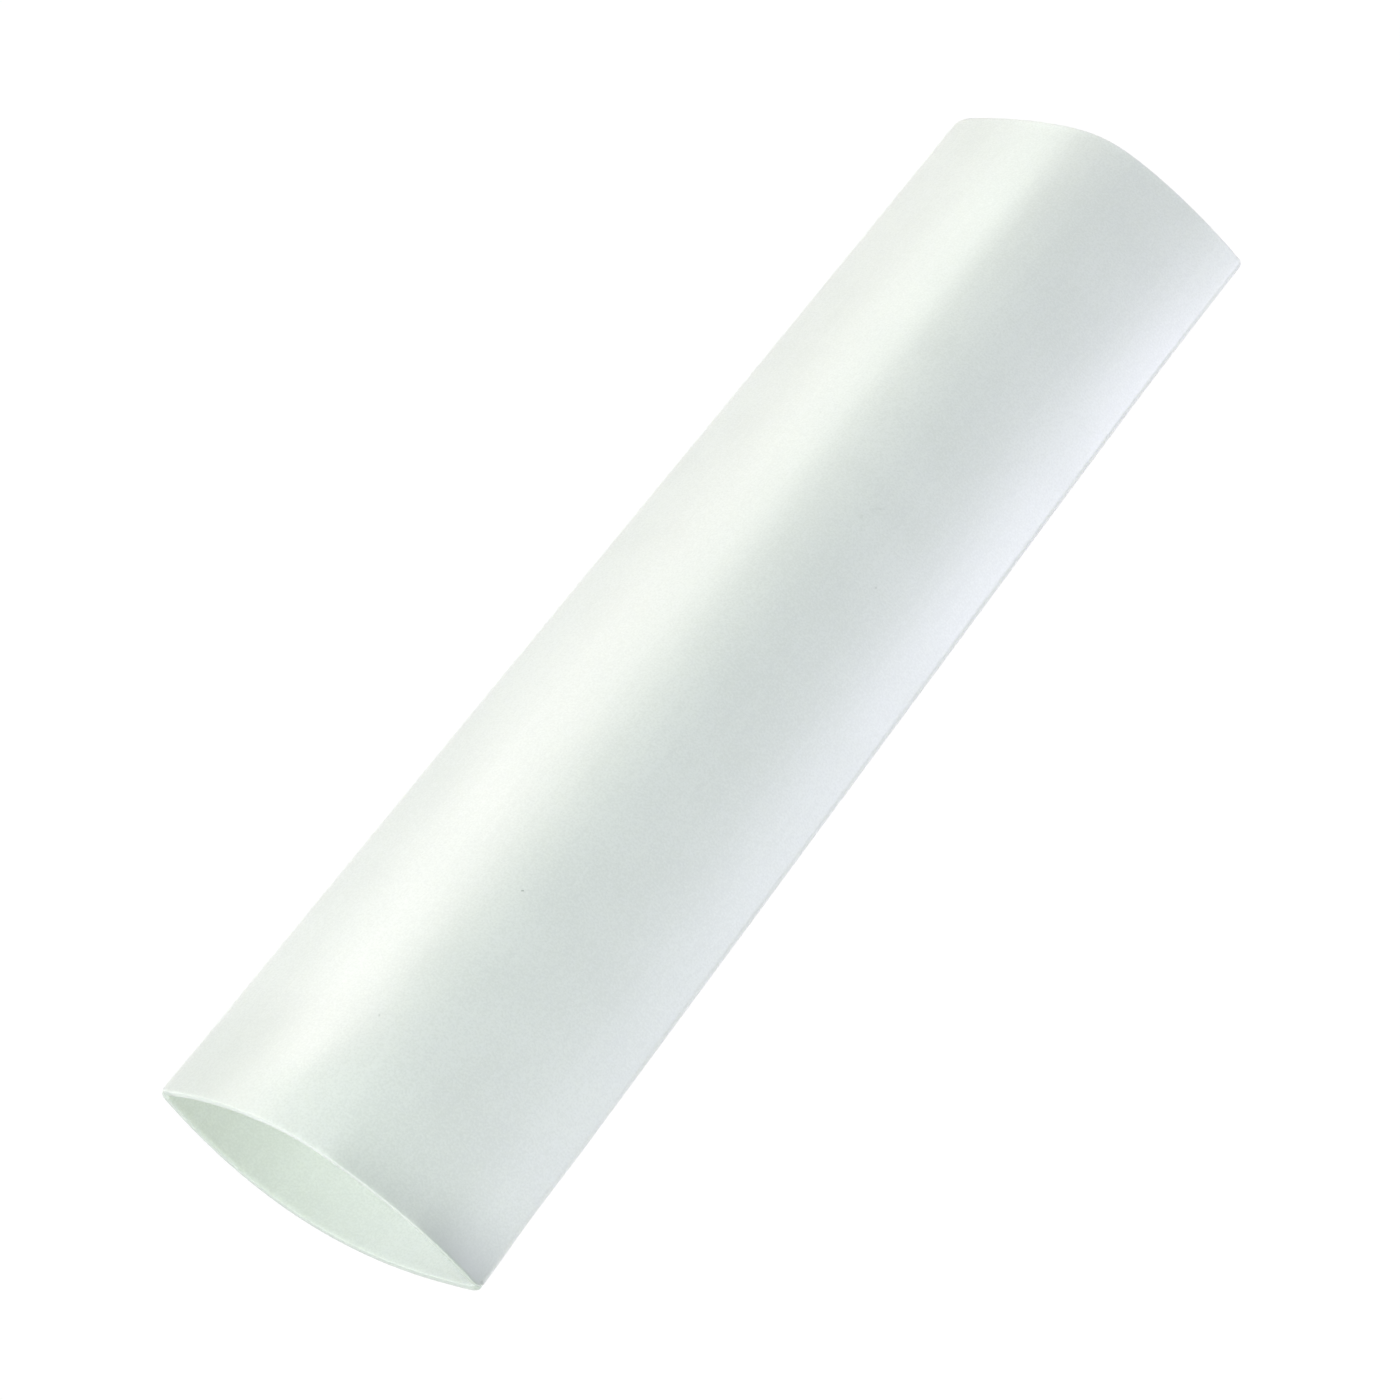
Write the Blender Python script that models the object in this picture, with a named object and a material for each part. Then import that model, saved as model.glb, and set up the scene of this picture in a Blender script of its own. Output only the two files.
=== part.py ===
"""Heat shrink tube: one cut length of lay-flat sleeve, partly sprung open.

The tube lies along Y with its wider mouth at -Y, its two fold lines at +X and -X, and the middle of its
underside on the floor at Z = 0. Lengths are in metres and angles in degrees.
"""

import math

import bmesh
import bpy

# Stock sizes
LENGTH = 0.1524
BORE_WHEN_ROUND = 0.0254
WALL = 0.0006
FOLD_INNER_RADIUS = 0.00015

# How far the sleeve has opened: the slope of its top wall at a fold line, towards each end
NEAR_OPENING_ANGLE = 43.3
FAR_OPENING_ANGLE = 39.0

# Each cut pressed the sleeve a little flatter over the last stretch before it
CUT_PRESS_LENGTH = 0.012
CUT_PRESS_ANGLE = 1.0

# Bend of each wall between the folds. Sharpness is the extra bend at the bump over the even bend
# elsewhere, width and offset are shares of half the wall.
RIDGE_SHARPNESS = 2.35
RIDGE_WIDTH = 0.15
RIDGE_OFFSET = -0.07
BELLY_SHARPNESS = 3.8
BELLY_WIDTH = 0.83

# Facets
TOP_FACETS = 36
BELLY_FACETS = 17
FOLD_FACETS = 6
PRESS_FACETS = 3
BODY_FACETS = 3
SEARCH_STEPS = 40
CURVE_STEPS = 8

SLEEVE_COLOUR = (0.86, 0.87, 0.86, 1.0)
SLEEVE_ROUGHNESS = 0.42


def clear_scene():
    for thing in list(bpy.data.objects):
        bpy.data.objects.remove(thing, do_unlink=True)


def turned_share(place, sharpness, width, offset):
    """Bend from the left fold up to a place on the wall, before it is scaled to the opening angle."""
    bump = math.erf((place - offset) / width) - math.erf((-1.0 - offset) / width)
    return place + 1.0 + sharpness * width * math.sqrt(math.pi) / 2.0 * bump


def wall_path(tip_angle, length, facets, sharpness, width, offset):
    """Points (x, z, slope) along one wall, from the left fold to the right, level at both folds."""
    whole = turned_share(1.0, sharpness, width, offset)
    steps = facets * CURVE_STEPS
    step = length / steps
    points = [(0.0, 0.0)]
    slopes = [tip_angle]
    for index in range(steps):
        middle = -1.0 + 2.0 * (index + 0.5) / steps
        slope = tip_angle * (1.0 - 2.0 * turned_share(middle, sharpness, width, offset) / whole)
        x, z = points[-1]
        points.append((x + step * math.cos(slope), z + step * math.sin(slope)))
        end = -1.0 + 2.0 * (index + 1.0) / steps
        slopes.append(tip_angle * (1.0 - 2.0 * turned_share(end, sharpness, width, offset) / whole))
    return levelled(points[::CURVE_STEPS], slopes[::CURVE_STEPS])


def levelled(points, slopes):
    """The same path turned so both ends are level, with its middle at x = 0."""
    last_x, last_z = points[-1]
    chord = math.hypot(last_x, last_z)
    lean = math.atan2(last_z, last_x)
    path = []
    for (x, z), slope in zip(points, slopes):
        along = x * math.cos(lean) + z * math.sin(lean)
        across = z * math.cos(lean) - x * math.sin(lean)
        path.append((along - chord / 2.0, across, slope - lean))
    return path, chord


def belly_path(length, wanted_chord):
    """The lower wall, with the opening angle that brings its folds onto those of the upper wall."""
    low, high = 0.0, math.pi / 2.0
    for _ in range(SEARCH_STEPS):
        angle = (low + high) / 2.0
        path, chord = wall_path(angle, length, BELLY_FACETS, BELLY_SHARPNESS, BELLY_WIDTH, 0.0)
        if chord > wanted_chord:
            low = angle
        else:
            high = angle
    return [(x, -z, -slope) for x, z, slope in path]


def fold_arc(centre, radius, start, end):
    """Points round a fold line between two walls, leaving out the two that the walls bring."""
    x, z = centre
    arc = []
    for index in range(1, FOLD_FACETS):
        angle = start + (end - start) * index / FOLD_FACETS
        arc.append((x + radius * math.cos(angle), z + radius * math.sin(angle)))
    return arc


def skin(top, belly, radius):
    """Closed outline at one distance outside the line that runs from fold to fold."""
    outline = [(x - radius * math.sin(slope), z + radius * math.cos(slope)) for x, z, slope in top]
    right_top = math.pi / 2.0 + top[-1][2]
    right_belly = -math.pi / 2.0 + belly[-1][2]
    outline += fold_arc(top[-1][:2], radius, right_top, right_belly)
    outline += [(x + radius * math.sin(slope), z - radius * math.cos(slope))
                for x, z, slope in reversed(belly)]
    left_belly = 1.5 * math.pi + belly[0][2]
    left_top = math.pi / 2.0 + top[0][2]
    outline += fold_arc(top[0][:2], radius, left_belly, left_top)
    return outline


def section(opening_angle):
    """Inner and outer outline of the sleeve at one place, with its underside at z = 0."""
    length = math.pi * (BORE_WHEN_ROUND / 2.0 - FOLD_INNER_RADIUS)
    top, chord = wall_path(math.radians(opening_angle), length, TOP_FACETS,
                           RIDGE_SHARPNESS, RIDGE_WIDTH, RIDGE_OFFSET)
    belly = belly_path(length, chord)
    inner = skin(top, belly, FOLD_INNER_RADIUS)
    outer = skin(top, belly, FOLD_INNER_RADIUS + WALL)
    floor = min(z for x, z in outer)
    return [(x, z - floor) for x, z in inner], [(x, z - floor) for x, z in outer]


def opening_angle_at(y):
    """Opening angle at a place along the tube, less near a cut."""
    share = y / LENGTH + 0.5
    angle = NEAR_OPENING_ANGLE + (FAR_OPENING_ANGLE - NEAR_OPENING_ANGLE) * share
    from_cut = LENGTH / 2.0 - abs(y)
    pressed = max(0.0, 1.0 - from_cut / CUT_PRESS_LENGTH)
    return angle - CUT_PRESS_ANGLE * pressed ** 2


def station_places():
    """Places along Y where the section is drawn, closer together in the pressed stretches."""
    press_step = CUT_PRESS_LENGTH / PRESS_FACETS
    body_step = (LENGTH - 2.0 * CUT_PRESS_LENGTH) / BODY_FACETS
    steps = [press_step] * PRESS_FACETS + [body_step] * BODY_FACETS + [press_step] * PRESS_FACETS
    places = [-LENGTH / 2.0]
    for step in steps[:-1]:
        places.append(places[-1] + step)
    places.append(LENGTH / 2.0)
    return places


def join_rings(mesh, first, second):
    """One band of faces between two rings of as many points."""
    for index in range(len(first)):
        after = (index + 1) % len(first)
        mesh.faces.new((first[index], first[after], second[after], second[index]))


def sleeve_mesh():
    """Inner and outer skins lofted from section to section, closed by the two flat cut faces."""
    mesh = bmesh.new()
    rings = []
    for y in station_places():
        outlines = section(opening_angle_at(y))
        rings.append([[mesh.verts.new((x, y, z)) for x, z in outline] for outline in outlines])
    for near, far in zip(rings, rings[1:]):
        join_rings(mesh, far[0], near[0])
        join_rings(mesh, near[1], far[1])
    join_rings(mesh, rings[0][0], rings[0][1])
    join_rings(mesh, rings[-1][1], rings[-1][0])
    bmesh.ops.recalc_face_normals(mesh, faces=mesh.faces)
    data = bpy.data.meshes.new("heat_shrink_tube")
    mesh.to_mesh(data)
    mesh.free()
    data.shade_smooth()
    data.set_sharp_from_angle(angle=math.radians(50.0))
    return data


def sleeve_material():
    material = bpy.data.materials.new("white_polyolefin")
    material.use_nodes = True
    shader = material.node_tree.nodes["Principled BSDF"]
    shader.inputs["Base Color"].default_value = SLEEVE_COLOUR
    shader.inputs["Roughness"].default_value = SLEEVE_ROUGHNESS
    shader.inputs["Metallic"].default_value = 0.0
    material.diffuse_color = SLEEVE_COLOUR
    return material


def main():
    clear_scene()
    collection = bpy.data.collections.new("Heat shrink tube")
    bpy.context.scene.collection.children.link(collection)
    data = sleeve_mesh()
    data.materials.append(sleeve_material())
    collection.objects.link(bpy.data.objects.new("heat_shrink_tube", data))


main()
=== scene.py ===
"""Heat shrink tube: the looks of one cut length of white lay-flat sleeve, partly sprung open.

Lengths are in metres and angles in degrees. The sleeve lies along Y on the floor, wide mouth at -Y.
"""

import math

import bpy
import numpy as np
from bpy.props import FloatProperty, FloatVectorProperty, IntProperty, PointerProperty
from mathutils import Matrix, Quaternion, Vector, noise


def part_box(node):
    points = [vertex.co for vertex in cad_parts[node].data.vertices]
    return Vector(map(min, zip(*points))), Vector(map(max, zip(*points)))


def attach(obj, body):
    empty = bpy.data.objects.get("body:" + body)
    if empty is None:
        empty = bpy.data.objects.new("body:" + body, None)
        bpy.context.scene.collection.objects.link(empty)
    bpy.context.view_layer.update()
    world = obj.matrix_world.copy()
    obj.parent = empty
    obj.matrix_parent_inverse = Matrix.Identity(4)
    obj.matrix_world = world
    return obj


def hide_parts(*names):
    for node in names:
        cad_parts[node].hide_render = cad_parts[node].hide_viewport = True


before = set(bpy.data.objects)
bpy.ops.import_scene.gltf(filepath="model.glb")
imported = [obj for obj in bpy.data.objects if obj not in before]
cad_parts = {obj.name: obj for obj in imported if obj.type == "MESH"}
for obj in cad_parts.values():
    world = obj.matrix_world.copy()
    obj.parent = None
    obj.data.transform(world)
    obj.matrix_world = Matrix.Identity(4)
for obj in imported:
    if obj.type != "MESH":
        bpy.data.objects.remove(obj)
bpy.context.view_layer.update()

bl_info = {
    "name": "Heat Shrink Sleeve",
    "version": (1, 0, 0),
    "blender": (4, 5, 0),
    "location": "3D View > Sidebar > Sleeve",
    "description": "Models a cut length of white lay-flat heat shrink sleeve and its studio stage",
    "category": "Object",
}

NODE = "heat_shrink_tube"
NODE_LOW, NODE_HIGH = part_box(NODE)

# Steps used to draw the bent walls and folds before they are shared out evenly round the girth
WALL_STEPS = 240
FOLD_STEPS = 16
SEARCH_STEPS = 40

# Rim of a cut: how squarely a face looks out of the cut to count as part of it, and steps of the rounding
CUT_FACING = 0.9
RIM_SEGMENTS = 3

# Edges that turn by more degrees than this stay sharp
SMOOTH_ANGLE = 45.0

# Slow waves of the walls: their length across the sleeve and along it, and the seed that places them
WAVE_ACROSS = 0.03
WAVE_ALONG = 0.05
WAVE_SEED = 7

# Where along the sleeve the five settings of its top wall hold, from the near cut to the far one
TOP_SHARES = (0.0, 0.12, 0.32, 0.68, 1.0)

# Specks, scuffs and the painted shade on the dark tip of the right fold: both ends in plan, half width and
# strength
MARKS = (
    ((0.0004, -0.04306), (0.00064, -0.04288), 0.00009, 0.8),
    ((-0.0032, -0.06146), (-0.00302, -0.06176), 0.0001, 0.35),
    ((0.0043, 0.016), (0.0057, 0.0174), 0.00007, 0.16),
    ((0.004, 0.0149), (0.0043, 0.0143), 0.0002, 0.12),
    ((0.0093, 0.0092), (0.0095, 0.0092), 0.00012, 0.35),
    # Painted shade on the tip of the right fold at the near cut
    ((0.0182, -0.0754), (0.0182, -0.0758), 0.00035, 0.5),
    ((-0.00349, 0.0327), (-0.00349, 0.0331), 0.00012, 0.1),
    ((-0.0071, 0.02493), (-0.0068, 0.02493), 0.00012, 0.1),
)

# Soft panels that light the sleeve: azimuth, elevation, side in metres, power in watts and colour
LIGHTS = (
    (0.0, 45.0, 0.9, 4.2, (0.71, 1.0, 0.8)),
    (30.0, 30.0, 0.9, 8.0, (0.87, 1.0, 0.82)),
    (330.0, 30.0, 0.9, 15.4, (0.95, 0.98, 1.0)),
    (122.0, 20.0, 0.45, 5.3, (0.84, 0.82, 1.0)),
    (135.0, 20.0, 0.45, 6.6, (0.89, 0.84, 1.0)),
    (225.0, 20.0, 0.45, 3.9, (0.93, 1.0, 0.92)),
    (238.0, 19.0, 0.45, 1.6, (1.0, 0.83, 0.76)),
    (250.0, 20.0, 0.45, 5.4, (1.0, 0.94, 0.93)),
)


class SleeveSizes(bpy.types.PropertyGroup):
    """Sizes of the sleeve and of how it was folded, cut and sprung open."""

    length: FloatProperty(name="Length", description="From cut to cut",
                          default=NODE_HIGH[1] - NODE_LOW[1], unit="LENGTH")
    bore: FloatProperty(name="Bore when round", description="Inside diameter of the sleeve held round",
                        default=0.0254, unit="LENGTH")
    wall: FloatProperty(name="Wall", description="Wall thickness as supplied",
                        default=0.0006, unit="LENGTH")
    fold_inner_radius: FloatProperty(name="Fold radius", description="Inner radius of the two long folds",
                                     default=0.00015, unit="LENGTH")
    near_press_length: FloatProperty(name="Near pressed length", default=0.014, unit="LENGTH",
                                     description="Stretch before the near cut that it flattened")
    far_press_length: FloatProperty(name="Far pressed length", default=0.026, unit="LENGTH",
                                    description="Stretch before the far cut that it flattened")
    near_press: FloatProperty(name="Near press", description="How much flatter the near cut left the sleeve",
                              default=0.3)
    far_press: FloatProperty(name="Far press", description="How much flatter the far cut left the sleeve",
                             default=2.2)
    near_top: FloatVectorProperty(name="Near top", size=4, default=(43.6, 1.322, 0.2, -0.106),
                                  description="Top wall at the near cut: its slope at a fold, and the "
                                              "sharpness, width and place of its ridge")
    second_top: FloatVectorProperty(name="Second top", size=4, default=(39.6, 4.9, 0.13, 0.0),
                                    description="The same, a little way in from the near cut")
    third_top: FloatVectorProperty(name="Third top", size=4, default=(39.1, 4.9, 0.145, 0.045),
                                   description="The same, before the middle of the sleeve")
    fourth_top: FloatVectorProperty(name="Fourth top", size=4, default=(38.55, 3.7, 0.22, 0.04),
                                    description="The same, beyond the middle of the sleeve")
    far_top: FloatVectorProperty(name="Far top", size=4, default=(37.4, 4.147, 0.2, -0.032),
                                 description="The same, at the far cut")
    near_belly: FloatVectorProperty(name="Near belly", size=3, default=(4.507, 0.751, -0.21),
                                    description="Underside's extra bend at the near cut: sharpness, "
                                                "width and place")
    far_belly: FloatVectorProperty(name="Far belly", size=3, default=(4.507, 0.751, -0.11),
                                   description="The same, at the far cut")
    near_left_corner: FloatVectorProperty(name="Near left corner", size=2, default=(0.0008, 0.001),
                                          description="Rounding along the fold and along the cut")
    near_right_corner: FloatVectorProperty(name="Near right corner", size=2, default=(0.0009, 0.0013),
                                           description="Rounding along the fold and along the cut")
    far_left_corner: FloatVectorProperty(name="Far left corner", size=2, default=(0.0026, 0.0021),
                                         description="Rounding along the fold and along the cut")
    far_right_corner: FloatVectorProperty(name="Far right corner", size=2, default=(0.0006, 0.0007),
                                          description="Rounding along the fold and along the cut")
    corner_fade: FloatProperty(name="Corner fade", description="Depth of rows that a rounded corner moves",
                               default=0.006, unit="LENGTH")
    near_right_lip: FloatVectorProperty(name="Near right lip", size=4, default=(0.46, 0.2, 0.00034, 0.0055),
                                        description="Turned-up lip: place and half width round the girth, "
                                                    "lift and depth")
    near_left_lip: FloatVectorProperty(name="Near left lip", size=4, default=(0.08, 0.12, 0.00005, 0.006),
                                       description="Turned-up lip: place and half width round the girth, "
                                                   "lift and depth")
    far_lip: FloatVectorProperty(name="Far lip", size=4, default=(0.25, 0.26, 0.00008, 0.0012),
                                 description="Turned-up lip: place and half width round the girth, "
                                             "lift and depth")
    near_rim_round: FloatProperty(name="Near rim rounding", description="Rounding of the near cut's edges",
                                  default=0.00004, unit="LENGTH")
    far_rim_round: FloatProperty(name="Far rim rounding", description="Rounding of the far cut's edges",
                                 default=0.00015, unit="LENGTH")
    waviness: FloatProperty(name="Waviness", description="How far the walls stray from straight",
                            default=0.00004, unit="LENGTH")
    around: IntProperty(name="Around", description="Points round the girth", default=360)
    along: IntProperty(name="Along", description="Rows from cut to cut", default=72)
    row_crowding: FloatProperty(name="Row crowding", description="How much closer the rows get near a cut",
                                default=0.85)


class SleeveFinish(bpy.types.PropertyGroup):
    """Colour and surface of the sleeve."""

    dark_colour: FloatVectorProperty(name="Dark grain", description="Darker tone of the white", size=3,
                                     subtype="COLOR", default=(0.835, 0.845, 0.83))
    light_colour: FloatVectorProperty(name="Light grain", description="Lighter tone of the white", size=3,
                                      subtype="COLOR", default=(0.9, 0.91, 0.895))
    # Painted shade on the cut faces: grey on the top wall's cut, darker on the underside's cut
    cut_shade_colour: FloatVectorProperty(name="Cut shade colour", description="Plastic on a cut face", size=3,
                                    subtype="COLOR", default=(0.7, 0.7, 0.695))
    low_cut_shade_colour: FloatVectorProperty(name="Low cut shade colour", description="Cut face of the underside",
                                        size=3, subtype="COLOR", default=(0.56, 0.575, 0.56))
    # Painted shade on the skin next to the wide mouth: its colour and its strength
    mouth_shade_colour: FloatVectorProperty(name="Mouth shade colour", description="Skin squeezed by the blade",
                                       size=3, subtype="COLOR", default=(0.5, 0.53, 0.5))
    mouth_shading: FloatProperty(name="Mouth shading", description="Strength of the squeezed skin's tone",
                            default=0.88)
    # Specks and scuffs, and the painted shade on the right fold's tip
    speck_and_shade_colour: FloatVectorProperty(name="Speck and shade colour", description="Specks and scuffs", size=3,
                                     subtype="COLOR", default=(0.45, 0.47, 0.45))
    tone_low: FloatProperty(name="Tone low", description="Grain value that shows the darker tone",
                            default=0.35)
    tone_high: FloatProperty(name="Tone high", description="Grain value that shows the lighter tone",
                             default=0.75)
    mottle_share: FloatProperty(name="Mottle share", description="How strongly slow patches shift the tone",
                                default=0.1)
    roughness: FloatProperty(name="Roughness", description="Satin of the skin", default=0.37)
    roughness_spread: FloatProperty(name="Roughness spread", description="How far the satin varies",
                                    default=0.02)
    cut_roughness: FloatProperty(name="Cut roughness", description="Matt of the cut faces", default=0.6)
    milkiness: FloatProperty(name="Milkiness", description="Share of light that goes through the skin",
                             default=1.0)
    milk_depth: FloatProperty(name="Milk depth", description="How far light spreads in the wall",
                              default=0.0004, unit="LENGTH")
    milk_spread: FloatVectorProperty(name="Milk spread", description="Share of that depth for each colour",
                                     size=3, default=(1.0, 1.0, 0.95))
    grain_size: FloatProperty(name="Grain size", description="Size of the skin's fine grain",
                              default=0.00022, unit="LENGTH")
    grain_height: FloatProperty(name="Grain height", description="Relief of the skin's fine grain",
                                default=0.000006, unit="LENGTH")


class StageSettings(bpy.types.PropertyGroup):
    """Floor, light and camera."""

    floor_size: FloatProperty(name="Floor size", description="Side of the floor", default=6.0, unit="LENGTH")
    floor_colour: FloatVectorProperty(name="Floor colour", description="White of the lit table",
                                      subtype="COLOR", size=3, default=(1.0, 1.0, 1.0))
    floor_glow: FloatProperty(name="Floor glow", description="Brightness of the lit table", default=1.02)
    floor_light: FloatProperty(name="Floor light", description="How much the lit table lights the sleeve",
                               default=0.8)
    light_distance: FloatProperty(name="Light distance", description="From the sleeve to each light panel",
                                  default=1.5, unit="LENGTH")
    room_light: FloatProperty(name="Room light", description="Faint light from all round", default=0.02)
    lens: FloatProperty(name="Lens", description="Focal length in millimetres", default=94.073)
    azimuth: FloatProperty(name="Azimuth", description="Camera's turn round the sleeve", default=26.896)
    elevation: FloatProperty(name="Elevation", description="Camera's height angle", default=56.248)
    roll: FloatProperty(name="Roll", description="Camera's turn about its own axis", default=6.551)
    distance: FloatProperty(name="Distance", description="From the camera to the point it aims at",
                            default=0.37534, unit="LENGTH")
    aim: FloatVectorProperty(name="Aim", description="Point in the middle of the picture", size=3,
                             default=(0.000064, -0.009307, 0.009), subtype="XYZ")


def wall_curve(tip_angle, length, bend_shape):
    """x, z and slope along one wall from the left fold to the right, level at both folds, and its chord."""
    sharpness, width, offset = bend_shape
    place = np.linspace(-1.0, 1.0, WALL_STEPS + 1)
    bend = 1.0 + sharpness * np.exp(-((place - offset) / width) ** 2)
    turned = np.concatenate(([0.0], np.cumsum(bend[1:] + bend[:-1])))
    slope = tip_angle * (1.0 - 2.0 * turned / turned[-1])
    middle = (slope[1:] + slope[:-1]) / 2.0
    step = length / WALL_STEPS
    x = np.concatenate(([0.0], np.cumsum(step * np.cos(middle))))
    z = np.concatenate(([0.0], np.cumsum(step * np.sin(middle))))
    chord = math.hypot(x[-1], z[-1])
    lean = math.atan2(z[-1], x[-1])
    level_x = x * math.cos(lean) + z * math.sin(lean) - chord / 2.0
    level_z = z * math.cos(lean) - x * math.sin(lean)
    return level_x, level_z, slope - lean, chord


def belly_curve(length, bend_shape, wanted_chord):
    """The underside, opened until its folds meet those of the top."""
    low, high = 0.0, math.pi / 2.0
    for _ in range(SEARCH_STEPS):
        angle = (low + high) / 2.0
        x, z, slope, chord = wall_curve(angle, length, bend_shape)
        if chord > wanted_chord:
            low = angle
        else:
            high = angle
    return x, -z, -slope


def fold_arc(x, z, radius, start, end):
    angle = np.linspace(start, end, FOLD_STEPS)
    return x + radius * np.cos(angle), z + radius * np.sin(angle)


def outer_outline(sizes, opening, ridge, belly):
    """Closed outer outline of the sleeve as x and z, from the middle of the left fold over the top."""
    length = math.pi * (sizes.bore / 2.0 - sizes.fold_inner_radius)
    radius = sizes.fold_inner_radius + sizes.wall
    x, z, slope, chord = wall_curve(math.radians(opening), length, ridge)
    low_x, low_z, low_slope = belly_curve(length, belly, chord)
    quarter = math.pi / 2.0
    left_middle = math.pi + (slope[0] + low_slope[0]) / 2.0
    pieces = [
        fold_arc(x[0], z[0], radius, left_middle, quarter + slope[0]),
        (x - radius * np.sin(slope), z + radius * np.cos(slope)),
        fold_arc(x[-1], z[-1], radius, quarter + slope[-1], low_slope[-1] - quarter),
        ((low_x + radius * np.sin(low_slope))[::-1], (low_z - radius * np.cos(low_slope))[::-1]),
        fold_arc(x[0], z[0], radius, 3.0 * quarter + low_slope[0], left_middle),
    ]
    return np.concatenate([piece[0] for piece in pieces]), np.concatenate([piece[1] for piece in pieces])


def between(near, far, share):
    """A value or a vector on its way from the near cut to the far cut."""
    return np.array(near) + (np.array(far) - np.array(near)) * share


def top_at(sizes, share):
    """The top wall's opening and ridge at a share of the length, eased from one setting to the next."""
    settings = (sizes.near_top, sizes.second_top, sizes.third_top, sizes.fourth_top, sizes.far_top)
    first = min(int(np.searchsorted(TOP_SHARES, share, side="right")) - 1, len(settings) - 2)
    part = (share - TOP_SHARES[first]) / (TOP_SHARES[first + 1] - TOP_SHARES[first])
    return between(settings[first], settings[first + 1], part * part * (3.0 - 2.0 * part))


def press_at(sizes, share, from_cut):
    """How much less the sleeve opens next to a cut, in degrees."""
    press, length = (sizes.near_press, sizes.near_press_length) if share < 0.5 else (
        sizes.far_press, sizes.far_press_length)
    return press * max(0.0, 1.0 - from_cut / length) ** 2


def sprung_row(sizes, y, shares):
    """x and z of one ring of points, at even shares of the girth, with the underside on the floor."""
    share = y / sizes.length + 0.5
    opening, *ridge = top_at(sizes, share)
    opening -= press_at(sizes, share, sizes.length / 2.0 - abs(y))
    x, z = outer_outline(sizes, opening, ridge, between(sizes.near_belly, sizes.far_belly, share))
    run = np.concatenate(([0.0], np.cumsum(np.hypot(np.diff(x), np.diff(z)))))
    run /= run[-1]
    return np.interp(shares, run, x), np.interp(shares, run, z - z.min())


def corner_recess(girth_away, corner):
    """How far a rounded corner draws the cut back, at a distance round the girth from its fold."""
    along_fold, along_cut = corner
    gone = np.clip(1.0 - girth_away / along_cut, 0.0, 1.0)
    return along_fold * (1.0 - np.sqrt(1.0 - gone ** 2))


def deselect_everything():
    if bpy.context.object and bpy.context.object.mode != "OBJECT":
        bpy.ops.object.mode_set(mode="OBJECT")
    bpy.ops.object.select_all(action="DESELECT")


def round_sleeve(sizes):
    """The sleeve as it was extruded: a round open tube along Y, in rows that crowd towards its cuts."""
    deselect_everything()
    bpy.ops.mesh.primitive_cylinder_add(vertices=sizes.around, radius=sizes.bore / 2.0 + sizes.wall,
                                        depth=sizes.length, end_fill_type="NOTHING",
                                        rotation=(math.pi / 2.0, 0.0, 0.0))
    sleeve = bpy.context.object
    sleeve.name = "shrink_sleeve"
    sleeve.data.name = "shrink_sleeve"
    bpy.ops.object.transform_apply(location=True, rotation=True, scale=True)
    bpy.ops.object.mode_set(mode="EDIT")
    bpy.ops.mesh.select_mode(type="EDGE")
    bpy.ops.mesh.select_all(action="DESELECT")
    bpy.ops.object.mode_set(mode="OBJECT")
    for edge in sleeve.data.edges:
        first, second = (sleeve.data.vertices[i].co for i in edge.vertices)
        edge.select = abs(first.y - second.y) > sizes.length / 2.0
    bpy.ops.object.mode_set(mode="EDIT")
    bpy.ops.mesh.subdivide(number_cuts=sizes.along - 1)
    bpy.ops.object.mode_set(mode="OBJECT")
    return sleeve


def spring_open(sleeve, sizes):
    """Moves the round tube's points to the folded and sprung shape, keeping its girth."""
    count = len(sleeve.data.vertices)
    points = np.empty(count * 3)
    sleeve.data.vertices.foreach_get("co", points)
    points = points.reshape(count, 3)
    shares = (np.arctan2(points[:, 2], -points[:, 0]) / (2.0 * math.pi)) % 1.0
    shares[shares > 1.0 - 0.25 / sizes.around] = 0.0
    rows = np.round((points[:, 1] / sizes.length + 0.5) * sizes.along).astype(int)
    for row in range(sizes.along + 1):
        y = row_place(sizes, row)
        members = np.nonzero(rows == row)[0]
        x, z = sprung_row(sizes, y, shares[members])
        points[members, 0] = x
        points[members, 1] = y - math.copysign(1.0, y) * corner_draw(sizes, y, shares[members])
        points[members, 2] = z + lip_lifts(sizes, y, shares[members])
    stray(points, sizes)
    sleeve.data.vertices.foreach_set("co", points.ravel())
    sleeve.data.update()


def row_place(sizes, row):
    """y of a row of points, with the rows closer together near the cuts."""
    even = 2.0 * row / sizes.along - 1.0
    crowded = math.sin(math.pi / 2.0 * even)
    return sizes.length / 2.0 * (even + sizes.row_crowding * (crowded - even))


def corner_draw(sizes, y, shares):
    """How far the points of a row move in from their cut, for the two rounded corners there."""
    fade = max(0.0, 1.0 - (sizes.length / 2.0 - abs(y)) / sizes.corner_fade) ** 2
    girth = math.pi * (sizes.bore + 2.0 * sizes.wall)
    left_away = np.minimum(shares, 1.0 - shares) * girth
    right_away = np.abs(shares - 0.5) * girth
    left, right = (sizes.far_left_corner, sizes.far_right_corner) if y > 0.0 else (
        sizes.near_left_corner, sizes.near_right_corner)
    return fade * (corner_recess(left_away, left) + corner_recess(right_away, right))


def lip_lifts(sizes, y, shares):
    """How far the blade turned up the sleeve's edge next to a cut."""
    lips = (sizes.far_lip,) if y > 0.0 else (sizes.near_right_lip, sizes.near_left_lip)
    from_cut = sizes.length / 2.0 - abs(y)
    total = np.zeros(len(shares))
    for centre, half_width, lift, depth in lips:
        away = np.clip(np.abs(shares - centre) / half_width, 0.0, 1.0)
        total += lift * max(0.0, 1.0 - from_cut / depth) ** 2 * np.cos(math.pi / 2.0 * away) ** 2
    return total


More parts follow.
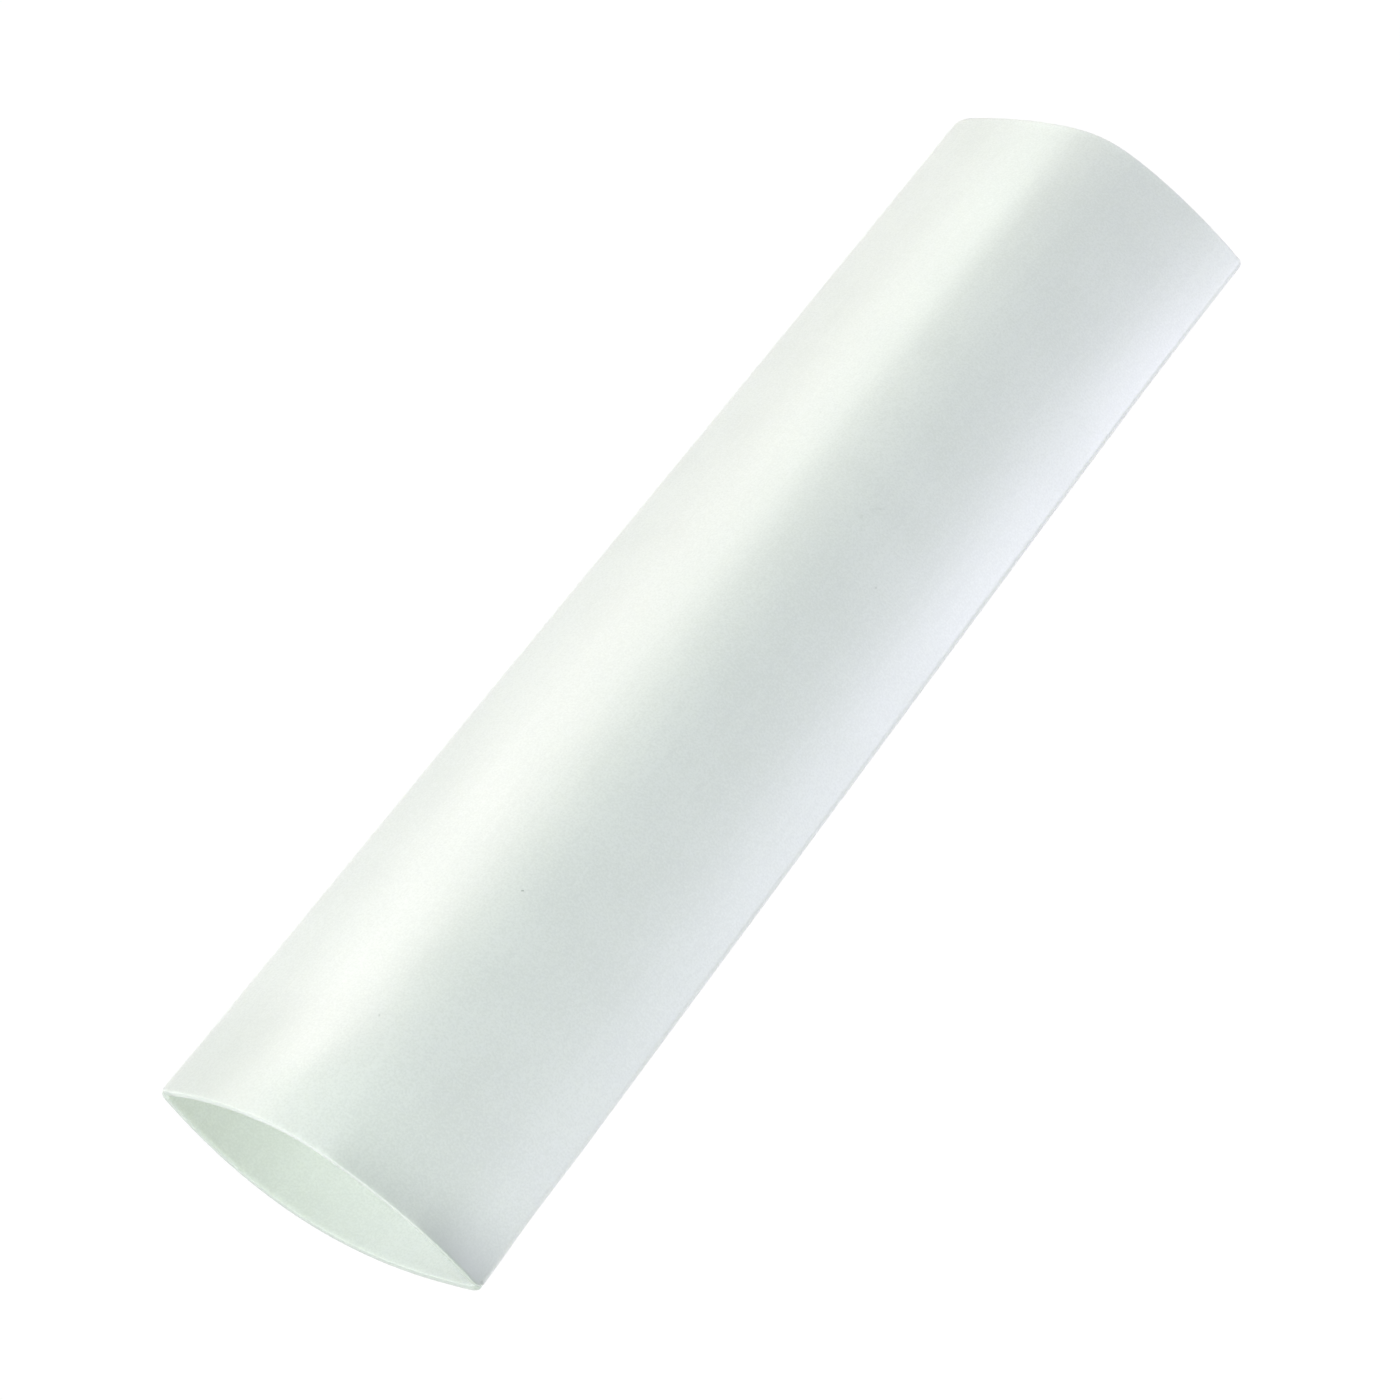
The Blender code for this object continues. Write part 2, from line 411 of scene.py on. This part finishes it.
def stray(points, sizes):
    """Slow waves that a thin soft wall has, with the lowest point kept on the floor."""
    noise.seed_set(WAVE_SEED)
    for point in points:
        place = Vector((point[0] / WAVE_ACROSS, point[1] / WAVE_ALONG, point[2] / WAVE_ACROSS))
        push = noise.noise_vector(place)
        point[0] += sizes.waviness * push.x
        point[2] += sizes.waviness * push.z
    points[:, 2] -= points[:, 2].min()


def thicken(sleeve, sizes):
    """Gives the skin its wall, inwards, with both cuts square."""
    deselect_everything()
    bpy.context.view_layer.objects.active = sleeve
    sleeve.select_set(True)
    bpy.ops.object.mode_set(mode="EDIT")
    bpy.ops.mesh.select_all(action="SELECT")
    bpy.ops.mesh.normals_make_consistent(inside=False)
    bpy.ops.object.mode_set(mode="OBJECT")
    wall = sleeve.modifiers.new("wall", "SOLIDIFY")
    wall.thickness = sizes.wall
    wall.offset = -1.0
    wall.use_even_offset = True
    wall.use_quality_normals = True
    bpy.ops.object.modifier_apply(modifier=wall.name)
    for vertex in sleeve.data.vertices:
        vertex.co.y = min(max(vertex.co.y, -sizes.length / 2.0), sizes.length / 2.0)


def round_rim(sleeve, side, size):
    """Rounds the inner and outer edges of one cut face, the near one at side -1 or the far one at side 1."""
    mesh = sleeve.data
    cut_faces = {face.index for face in mesh.polygons if face.normal.y * side > CUT_FACING}
    meets = {}
    for face in mesh.polygons:
        for key in face.edge_keys:
            meets.setdefault(key, []).append(face.index in cut_faces)
    bpy.ops.object.mode_set(mode="EDIT")
    bpy.ops.mesh.select_mode(type="EDGE")
    bpy.ops.mesh.select_all(action="DESELECT")
    bpy.ops.object.mode_set(mode="OBJECT")
    for edge in mesh.edges:
        edge.select = sorted(meets[tuple(sorted(edge.vertices))]) == [False, True]
    bpy.ops.object.mode_set(mode="EDIT")
    bpy.ops.mesh.bevel(offset=size, segments=RIM_SEGMENTS, affect="EDGES", clamp_overlap=True)
    bpy.ops.object.mode_set(mode="OBJECT")


def new_group(name, inputs, outputs):
    """A node group with named inputs and outputs, and the sockets that its own nodes meet."""
    group = bpy.data.node_groups.new(name, "ShaderNodeTree")
    for label, kind, value in inputs:
        socket = group.interface.new_socket(label, in_out="INPUT", socket_type=kind)
        if value is not None:
            socket.default_value = value
    for label, kind in outputs:
        group.interface.new_socket(label, in_out="OUTPUT", socket_type=kind)
    return group, group.nodes.new("NodeGroupInput").outputs, group.nodes.new("NodeGroupOutput").inputs


def feed(tree, socket, value):
    """Links a socket to another one, or gives it a fixed value."""
    if isinstance(value, bpy.types.NodeSocket):
        tree.links.new(value, socket)
    else:
        socket.default_value = value


def calculate(tree, operation, *values):
    node = tree.nodes.new("ShaderNodeMath")
    node.operation = operation
    for socket, value in zip(node.inputs, values):
        feed(tree, socket, value)
    return node.outputs["Value"]


def calculate_vector(tree, operation, *values):
    node = tree.nodes.new("ShaderNodeVectorMath")
    node.operation = operation
    for socket, value in zip(node.inputs, values):
        feed(tree, socket, value)
    return node.outputs["Value" if operation in {"DOT_PRODUCT", "LENGTH"} else "Vector"]


def ramp(tree, value, low, high, to_low=0.0, to_high=1.0):
    """A value eased from one range to another and held at its ends."""
    node = tree.nodes.new("ShaderNodeMapRange")
    node.interpolation_type = "SMOOTHSTEP"
    for label, part in (("Value", value), ("From Min", low), ("From Max", high),
                        ("To Min", to_low), ("To Max", to_high)):
        feed(tree, node.inputs[label], part)
    return node.outputs["Result"]


def grain_noise(tree, place, scale, detail):
    node = tree.nodes.new("ShaderNodeTexNoise")
    feed(tree, node.inputs["Vector"], place)
    feed(tree, node.inputs["Scale"], scale)
    feed(tree, node.inputs["Detail"], detail)
    return node.outputs["Fac"]


def mixed_colour(tree, share, first, second):
    node = tree.nodes.new("ShaderNodeMix")
    node.data_type = "RGBA"
    feed(tree, node.inputs["Factor"], share)
    feed(tree, node.inputs[6], first)
    feed(tree, node.inputs[7], second)
    return node.outputs[2]


def skin_grain_group():
    """Fine grain of the satin skin, with faint streaks that the die left along the sleeve."""
    group, given, result = new_group(
        "skin_grain",
        (("Place", "NodeSocketVector", None), ("Grain Size", "NodeSocketFloat", 0.0002),
         ("Streak Width", "NodeSocketFloat", 0.0008), ("Streak Tone", "NodeSocketFloat", 0.15),
         ("Streak Relief", "NodeSocketFloat", 0.5), ("Streak Draw", "NodeSocketVector", (1.0, 0.02, 1.0))),
        (("Tone", "NodeSocketFloat"), ("Height", "NodeSocketFloat")))
    grain_scale = calculate(group, "DIVIDE", 1.0, given["Grain Size"])
    streak_scale = calculate(group, "DIVIDE", 1.0, given["Streak Width"])
    grain = grain_noise(group, given["Place"], grain_scale, 1.0)
    drawn_out = calculate_vector(group, "MULTIPLY", given["Place"], given["Streak Draw"])
    streak = grain_noise(group, drawn_out, streak_scale, 2.0)
    more_streak = calculate(group, "SUBTRACT", streak, grain)
    feed(group, result["Tone"], calculate(group, "MULTIPLY_ADD", more_streak, given["Streak Tone"], grain))
    feed(group, result["Height"], calculate(group, "MULTIPLY_ADD", more_streak, given["Streak Relief"],
                                            grain))
    return group


def mottle_group():
    """Slow cloudiness of the milky plastic."""
    group, given, result = new_group(
        "mottle",
        (("Place", "NodeSocketVector", None), ("Patch Size", "NodeSocketFloat", 0.01),
         ("Clear To", "NodeSocketFloat", 0.3), ("Cloudy From", "NodeSocketFloat", 0.7)),
        (("Tone", "NodeSocketFloat"),))
    scale = calculate(group, "DIVIDE", 1.0, given["Patch Size"])
    cloud = grain_noise(group, given["Place"], scale, 3.0)
    feed(group, result["Tone"], ramp(group, cloud, given["Clear To"], given["Cloudy From"]))
    return group


def short_mark_group():
    """One mark, a speck, a scuff or the painted shade on the fold's tip: a soft-edged stroke round a centre.
    """
    group, given, result = new_group(
        "short_mark",
        (("Place", "NodeSocketVector", None), ("Centre", "NodeSocketVector", None),
         ("Direction", "NodeSocketVector", (0.0, 1.0, 0.0)), ("Length", "NodeSocketFloat", 0.0002),
         ("Width", "NodeSocketFloat", 0.0001), ("Solid To", "NodeSocketFloat", 0.5),
         ("Gone At", "NodeSocketFloat", 1.2)),
        (("Mask", "NodeSocketFloat"),))
    offset = calculate_vector(group, "SUBTRACT", given["Place"], given["Centre"])
    run = calculate_vector(group, "DOT_PRODUCT", offset, given["Direction"])
    stretch = calculate_vector(group, "LENGTH", offset)
    across_squared = calculate(group, "SUBTRACT", calculate(group, "MULTIPLY", stretch, stretch),
                               calculate(group, "MULTIPLY", run, run))
    across = calculate(group, "SQRT", calculate(group, "MAXIMUM", 0.0, across_squared))
    run_share = calculate(group, "DIVIDE", calculate(group, "ABSOLUTE", run), given["Length"])
    across_share = calculate(group, "DIVIDE", across, given["Width"])
    reach = calculate(group, "MAXIMUM", run_share, across_share)
    feed(group, result["Mask"], ramp(group, reach, given["Solid To"], given["Gone At"], 1.0, 0.0))
    return group


def cut_face_group():
    """The two cut faces, where the blade left the plastic matt and a little torn; the material greys them as
    painted shade, the underside's cut darkest.
    """
    group, given, result = new_group(
        "cut_face",
        (("Place", "NodeSocketVector", None), ("Facing", "NodeSocketVector", None),
         ("Half Length", "NodeSocketFloat", 0.0762), ("Depth", "NodeSocketFloat", 0.0001),
         ("Skin Facing", "NodeSocketFloat", 0.25), ("Cut Facing", "NodeSocketFloat", 0.45),
         ("Underside Top", "NodeSocketFloat", 0.0096), ("Upper Wall", "NodeSocketFloat", 0.0104),
         ("Tear Scale", "NodeSocketFloat", 6000.0)),
        (("Mask", "NodeSocketFloat"), ("Underside", "NodeSocketFloat"), ("Height", "NodeSocketFloat")))
    parts = group.nodes.new("ShaderNodeSeparateXYZ")
    feed(group, parts.inputs["Vector"], given["Place"])
    along = calculate(group, "ABSOLUTE", parts.outputs["Y"])
    start = calculate(group, "SUBTRACT", given["Half Length"], given["Depth"])
    facing = group.nodes.new("ShaderNodeSeparateXYZ")
    feed(group, facing.inputs["Vector"], given["Facing"])
    endwise = ramp(group, calculate(group, "ABSOLUTE", facing.outputs["Y"]), given["Skin Facing"],
                   given["Cut Facing"])
    at_end = ramp(group, along, start, given["Half Length"])
    feed(group, result["Mask"], calculate(group, "MAXIMUM", endwise, at_end))
    feed(group, result["Underside"], ramp(group, parts.outputs["Z"], given["Underside Top"],
                                          given["Upper Wall"], 1.0, 0.0))
    feed(group, result["Height"], grain_noise(group, given["Place"], given["Tear Scale"], 2.0))
    return group


def mouth_shade_group():
    """Painted shade on the skin next to the wide mouth: darker right of the ridge and towards the right
    fold, a little darker on the left.
    """
    group, given, result = new_group(
        "mouth_shade",
        (("Place", "NodeSocketVector", None), ("Half Length", "NodeSocketFloat", 0.0762),
         ("Depth", "NodeSocketFloat", 0.0087), ("Ridge Share", "NodeSocketFloat", 0.36),
         ("Ridge Start", "NodeSocketFloat", 0.0), ("Ridge End", "NodeSocketFloat", 0.0035),
         ("Rise Start", "NodeSocketFloat", 0.0065), ("Rise End", "NodeSocketFloat", 0.0163),
         ("Left Shading", "NodeSocketFloat", 0.24), ("Shade To", "NodeSocketFloat", 0.004),
         ("Clear From", "NodeSocketFloat", 0.016), ("Shade Left Of", "NodeSocketFloat", -0.01),
         ("Clear Right Of", "NodeSocketFloat", -0.006), ("Underside Top", "NodeSocketFloat", 0.0086),
         ("Upper Wall", "NodeSocketFloat", 0.0098)),
        (("Mask", "NodeSocketFloat"),))
    parts = group.nodes.new("ShaderNodeSeparateXYZ")
    feed(group, parts.inputs["Vector"], given["Place"])
    from_cut = calculate(group, "ADD", parts.outputs["Y"], given["Half Length"])
    left_over = calculate(group, "MAXIMUM", 0.0, calculate(
        group, "SUBTRACT", 1.0, calculate(group, "DIVIDE", from_cut, given["Depth"])))
    across = parts.outputs["X"]
    beside_ridge = ramp(group, across, given["Ridge Start"], given["Ridge End"], 0.0, given["Ridge Share"])
    towards_fold = ramp(group, across, given["Rise Start"], given["Rise End"])
    # Painted shade right of the ridge and rising towards the right fold, fading away from the near cut
    squeezed = calculate(group, "MULTIPLY", calculate(group, "POWER", left_over, 2.0),
                         calculate(group, "MAXIMUM", beside_ridge, towards_fold))
    # Painted shade on the left, next to the near cut
    near_end = ramp(group, from_cut, given["Shade To"], given["Clear From"], given["Left Shading"], 0.0)
    left = ramp(group, across, given["Shade Left Of"], given["Clear Right Of"], 1.0, 0.0)
    left_shade = calculate(group, "MULTIPLY", near_end, left)
    upper = ramp(group, parts.outputs["Z"], given["Underside Top"], given["Upper Wall"])
    feed(group, result["Mask"], calculate(group, "MULTIPLY", calculate(group, "MAXIMUM", squeezed, left_shade),
                                          upper))
    return group


def placed(tree, group, place, **values):
    """A node group in a material, at a place on the piece and with its own values."""
    node = tree.nodes.new("ShaderNodeGroup")
    node.node_tree = group
    feed(tree, node.inputs["Place"], place)
    for label, value in values.items():
        feed(tree, node.inputs[label.replace("_", " ").title()], value)
    return node.outputs


def on_top(sleeve, x, y):
    """The point of the top wall that lies over a point in plan."""
    hit, point, *_ = sleeve.ray_cast(Vector((x, y, 1.0)), Vector((0.0, 0.0, -1.0)))
    if not hit:
        raise RuntimeError(f"no wall over {x}, {y}")
    return point


def specks_and_shade_mask(tree, place, sleeve):
    """All specks and scuffs, and the painted shade on the right fold's tip, as one mask."""
    group = short_mark_group()
    mask = 0.0
    for start, end, width, strength in MARKS:
        first, last = on_top(sleeve, *start), on_top(sleeve, *end)
        mark = placed(tree, group, place, centre=(first + last) / 2.0, direction=(last - first).normalized(),
                      length=(last - first).length / 2.0, width=width)
        mask = calculate(tree, "MAXIMUM", mask, calculate(tree, "MULTIPLY", mark["Mask"], strength))
    return mask


def sleeve_material(sleeve, sizes, finish):
    material = bpy.data.materials.new("satin_polyolefin")
    material.use_nodes = True
    tree = material.node_tree
    surface = tree.nodes.new("ShaderNodeTexCoord")
    place = surface.outputs["Object"]
    grain = placed(tree, skin_grain_group(), place, grain_size=finish.grain_size)
    mottle = placed(tree, mottle_group(), place)
    # Painted shade next to the wide mouth
    mouth_shade = placed(tree, mouth_shade_group(), place, half_length=sizes.length / 2.0)
    cut = placed(tree, cut_face_group(), place, facing=surface.outputs["Normal"],
                 half_length=sizes.length / 2.0)

    tone = calculate(tree, "MULTIPLY_ADD", mottle["Tone"], finish.mottle_share, grain["Tone"])
    share = ramp(tree, tone, finish.tone_low, finish.tone_high)
    colour = mixed_colour(tree, share, (*finish.dark_colour, 1.0), (*finish.light_colour, 1.0))
    # Painted shade: the cut faces greyed, the underside's cut darker still
    cut_shade_colour = mixed_colour(tree, cut["Underside"], (*finish.cut_shade_colour, 1.0),
                              (*finish.low_cut_shade_colour, 1.0))
    colour = mixed_colour(tree, cut["Mask"], colour, cut_shade_colour)
    # Painted shade next to the wide mouth, mixed into the colour
    mouth_shaded = calculate(tree, "MULTIPLY", mouth_shade["Mask"], finish.mouth_shading)
    colour = mixed_colour(tree, mouth_shaded, colour, (*finish.mouth_shade_colour, 1.0))
    colour = mixed_colour(tree, specks_and_shade_mask(tree, place, sleeve), colour, (*finish.speck_and_shade_colour, 1.0))

    shader = tree.nodes["Principled BSDF"]
    feed(tree, shader.inputs["Base Color"], colour)
    skin_roughness = ramp(tree, mottle["Tone"], 0.0, 1.0, finish.roughness - finish.roughness_spread,
                          finish.roughness + finish.roughness_spread)
    feed(tree, shader.inputs["Roughness"], ramp(tree, cut["Mask"], 0.0, 1.0, skin_roughness,
                                                finish.cut_roughness))
    shader.inputs["Subsurface Weight"].default_value = finish.milkiness
    shader.inputs["Subsurface Radius"].default_value = finish.milk_spread
    shader.inputs["Subsurface Scale"].default_value = finish.milk_depth
    bump = tree.nodes.new("ShaderNodeBump")
    bump.inputs["Strength"].default_value = 1.0
    bump.inputs["Distance"].default_value = finish.grain_height
    feed(tree, bump.inputs["Height"], calculate(tree, "MULTIPLY_ADD", cut["Mask"], cut["Height"],
                                                grain["Height"]))
    feed(tree, shader.inputs["Normal"], bump.outputs["Normal"])
    return material


class SLEEVE_OT_make(bpy.types.Operator):
    """Model the sleeve in place of its plain solid"""

    bl_idname = "sleeve.make"
    bl_label = "Make Sleeve"

    def execute(self, context):
        sizes = context.scene.sleeve_sizes
        sleeve = round_sleeve(sizes)
        spring_open(sleeve, sizes)
        thicken(sleeve, sizes)
        round_rim(sleeve, -1, sizes.near_rim_round)
        round_rim(sleeve, 1, sizes.far_rim_round)
        bpy.ops.object.shade_smooth_by_angle(angle=math.radians(SMOOTH_ANGLE))
        sleeve.data.materials.append(sleeve_material(sleeve, sizes, context.scene.sleeve_finish))
        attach(sleeve, "root")
        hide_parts(NODE)
        return {"FINISHED"}


def make_floor(stage):
    deselect_everything()
    bpy.ops.mesh.primitive_plane_add(size=stage.floor_size)
    floor = bpy.context.object
    floor.name = "studio_floor"
    material = bpy.data.materials.new("studio_floor")
    material.use_nodes = True
    tree = material.node_tree
    tree.nodes.remove(tree.nodes["Principled BSDF"])
    glow = tree.nodes.new("ShaderNodeEmission")
    glow.inputs["Color"].default_value = (*stage.floor_colour, 1.0)
    seen = tree.nodes.new("ShaderNodeLightPath").outputs["Is Camera Ray"]
    feed(tree, glow.inputs["Strength"], ramp(tree, seen, 0.0, 1.0, stage.floor_light, stage.floor_glow))
    feed(tree, tree.nodes["Material Output"].inputs["Surface"], glow.outputs["Emission"])
    floor.data.materials.append(material)


def direction_to(azimuth, elevation):
    """Unit vector from the sleeve, with azimuth 0 at the wide mouth's side and 90 on the right."""
    turn, height = math.radians(azimuth), math.radians(elevation)
    return Vector((math.sin(turn) * math.cos(height), -math.cos(turn) * math.cos(height), math.sin(height)))


def make_lights(stage):
    for azimuth, elevation, size, power, colour in LIGHTS:
        data = bpy.data.lights.new("light_panel", "AREA")
        data.shape = "SQUARE"
        data.size = size
        data.energy = power
        data.color = colour
        panel = bpy.data.objects.new("light_panel", data)
        bpy.context.scene.collection.objects.link(panel)
        back = direction_to(azimuth, elevation)
        panel.location = back * stage.light_distance
        panel.rotation_euler = back.to_track_quat("Z", "Y").to_euler()
        panel.visible_camera = False


def make_camera(stage):
    data = bpy.data.cameras.new("camera")
    data.lens = stage.lens
    data.sensor_width = 36.0
    data.clip_start = 0.01
    camera = bpy.data.objects.new("camera", data)
    bpy.context.scene.collection.objects.link(camera)
    back = direction_to(stage.azimuth, stage.elevation)
    camera.location = Vector(stage.aim) + back * stage.distance
    camera.rotation_mode = "QUATERNION"
    roll = Quaternion((0.0, 0.0, 1.0), math.radians(stage.roll))
    camera.rotation_quaternion = (-back).to_track_quat("-Z", "Y") @ roll
    bpy.context.scene.camera = camera


def make_world(stage):
    """A white backdrop that itself gives little light."""
    world = bpy.data.worlds.new("studio")
    world.use_nodes = True
    tree = world.node_tree
    seen = tree.nodes.new("ShaderNodeLightPath").outputs["Is Camera Ray"]
    background = tree.nodes["Background"]
    background.inputs["Color"].default_value = (1.0, 1.0, 1.0, 1.0)
    feed(tree, background.inputs["Strength"], calculate(tree, "MAXIMUM", seen, stage.room_light))
    bpy.context.scene.world = world
    bpy.context.scene.view_settings.view_transform = "Standard"


class SLEEVE_OT_stage(bpy.types.Operator):
    """Set the floor, the light and the camera"""

    bl_idname = "sleeve.stage"
    bl_label = "Set Stage"

    def execute(self, context):
        stage = context.scene.sleeve_stage
        make_floor(stage)
        make_world(stage)
        make_lights(stage)
        make_camera(stage)
        return {"FINISHED"}


class SLEEVE_PT_panel(bpy.types.Panel):
    """Sidebar panel with the sleeve's operators"""

    bl_label = "Heat Shrink Sleeve"
    bl_idname = "SLEEVE_PT_panel"
    bl_space_type = "VIEW_3D"
    bl_region_type = "UI"
    bl_category = "Sleeve"

    def draw(self, context):
        self.layout.operator("sleeve.make")
        self.layout.operator("sleeve.stage")


CLASSES = (SleeveSizes, SleeveFinish, StageSettings, SLEEVE_OT_make, SLEEVE_OT_stage, SLEEVE_PT_panel)


def register():
    for each in CLASSES:
        bpy.utils.register_class(each)
    bpy.types.Scene.sleeve_sizes = PointerProperty(type=SleeveSizes)
    bpy.types.Scene.sleeve_finish = PointerProperty(type=SleeveFinish)
    bpy.types.Scene.sleeve_stage = PointerProperty(type=StageSettings)


def unregister():
    del bpy.types.Scene.sleeve_stage
    del bpy.types.Scene.sleeve_finish
    del bpy.types.Scene.sleeve_sizes
    for each in reversed(CLASSES):
        bpy.utils.unregister_class(each)


def main():
    register()
    bpy.ops.sleeve.make()
    bpy.ops.sleeve.stage()


if __name__ == "__main__":
    main()
